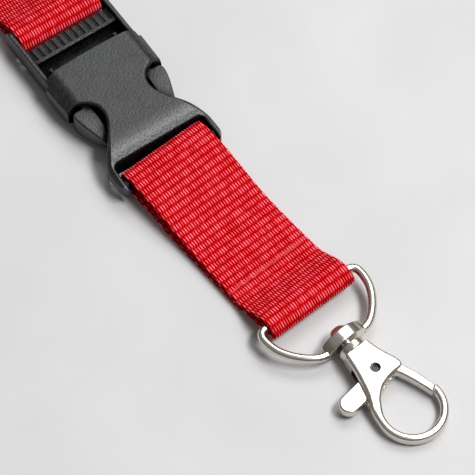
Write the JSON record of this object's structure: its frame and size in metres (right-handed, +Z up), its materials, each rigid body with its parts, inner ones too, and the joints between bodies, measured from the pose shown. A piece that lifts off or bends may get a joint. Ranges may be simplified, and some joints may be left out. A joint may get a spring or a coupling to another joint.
{
  "type": "neck lanyard",
  "caption": "Ribbed webbing neck lanyard with a side-release buckle, a short sewn strap and a swivel snap hook with a sprung trigger.",
  "frame": {"origin": "centre of the buckle socket's flat underside, on the table", "axes": "+Z up, +Y along the buckle towards the neck loop, +X to the right, hook on the -Y side"},
  "size_m": [0.1372, 0.4711, 0.0237],
  "materials": {
    "webbing": "ribbed woven polyester",
    "thread": "twisted sewing thread",
    "moulded_plastic": "fine grained matt",
    "nickel_plate": "bright nickel plating over die-cast zinc",
    "pin_steel": "dull steel",
    "spring_steel": "drawn wire"
  },
  "bodies": {
    "socket": {"buckle_socket": "moulded_plastic"},
    "plug": {"buckle_plug_frame": "moulded_plastic"},
    "left_arm": {"left_spring_arm": "moulded_plastic"},
    "right_arm": {"right_spring_arm": "moulded_plastic"},
    "neck_loop": {"neck_strap": "webbing", "neck_seam_near": "thread", "neck_seam_far": "thread"},
    "short_strap": {"short_strap": "webbing", "strap_seam": "thread"},
    "eye": {"d_eye": "nickel_plate"},
    "hook": {"hook_body": "nickel_plate", "swivel_rivet": "nickel_plate", "trigger_pin": "pin_steel", "trigger_spring": "spring_steel"},
    "trigger": {"trigger": "nickel_plate"}
  },
  "joints": [
    {"name": "buckle_slide", "type": "slide", "parent": "socket", "child": "plug", "axis": [0, 1, 0], "range_m": [0, 0.03], "deforming": ["left_spring_arm", "right_spring_arm"]},
    {"name": "left_arm_press", "type": "hinge", "parent": "plug", "child": "left_arm", "pos_m": [-0.009, 0.0136, 0.0048], "axis": [0, 0, 1], "range_deg": [0, 8], "stiffness_Nm_per_rad": 0.1},
    {"name": "right_arm_press", "type": "hinge", "parent": "plug", "child": "right_arm", "pos_m": [0.009, 0.0136, 0.0048], "axis": [0, 0, -1], "range_deg": [0, 8], "stiffness_Nm_per_rad": 0.1},
    {"name": "neck_strap_pivot", "type": "hinge", "parent": "plug", "child": "neck_loop", "pos_m": [0, 0.0334, 0.0048], "axis": [1, 0, 0], "range_deg": [-60, 60]},
    {"name": "short_strap_pivot", "type": "hinge", "parent": "socket", "child": "short_strap", "pos_m": [0, -0.018, 0.0048], "axis": [1, 0, 0], "range_deg": [-60, 60]},
    {"name": "eye_pivot", "type": "hinge", "parent": "short_strap", "child": "eye", "pos_m": [0.00461, -0.06969, 0.005], "axis": [0.996, 0.0889, 0], "range_deg": [-80, 80]},
    {"name": "hook_swivel", "type": "hinge", "parent": "eye", "child": "hook", "pos_m": [0.00602, -0.08549, 0.00386], "axis": [0.0887, -0.9935, -0.0715], "continuous": true},
    {"name": "trigger_turn", "type": "hinge", "parent": "hook", "child": "trigger", "pos_m": [0.00686, -0.09483, 0.00319], "axis": [0.0064, -0.0712, 0.9974], "range_deg": [-25, 0], "stiffness_Nm_per_rad": 0.004, "springref_deg": 20.05, "deforming": ["trigger_spring"]}
  ]
}
